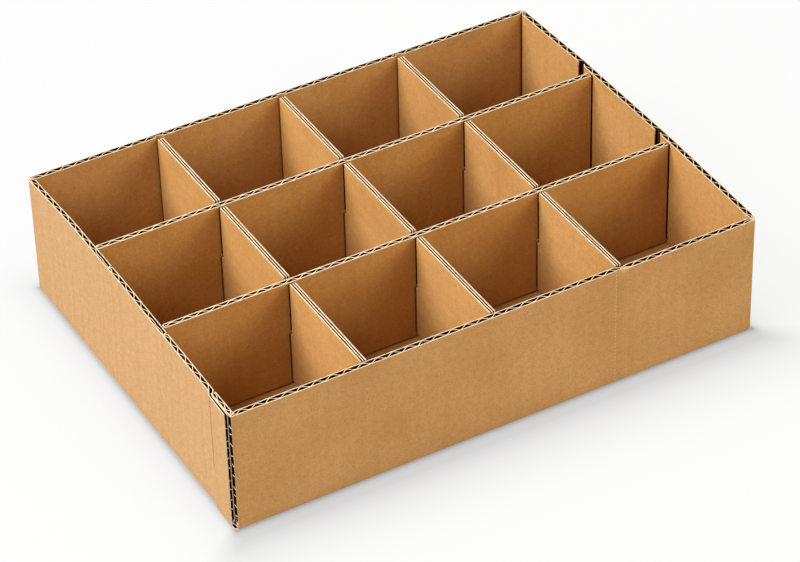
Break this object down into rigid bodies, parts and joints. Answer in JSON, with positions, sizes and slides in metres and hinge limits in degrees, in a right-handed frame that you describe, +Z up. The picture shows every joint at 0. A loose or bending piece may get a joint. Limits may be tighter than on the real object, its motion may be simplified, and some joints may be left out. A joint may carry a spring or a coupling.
{
  "type": "bottle shipping box",
  "caption": "Open corrugated cardboard tray with interlocking dividers that hold bottles upright in separate cells.",
  "frame": {"origin": "bottom centre of the tray's bounding box", "axes": "+X along the long side from the lapped end wall to the plain end wall, +Z up"},
  "size_m": [0.3386, 0.2522, 0.08],
  "materials": {
    "tray": "matte",
    "long_divider_front": "matte",
    "long_divider_back": "matte",
    "cross_divider_left": "matte",
    "cross_divider_middle": "matte",
    "cross_divider_right": "matte"
  },
  "bodies": {
    "root": {"tray": "tray", "long_divider_front": "long_divider_front", "long_divider_back": "long_divider_back", "cross_divider_left": "cross_divider_left", "cross_divider_middle": "cross_divider_middle", "cross_divider_right": "cross_divider_right"}
  },
  "joints": []
}
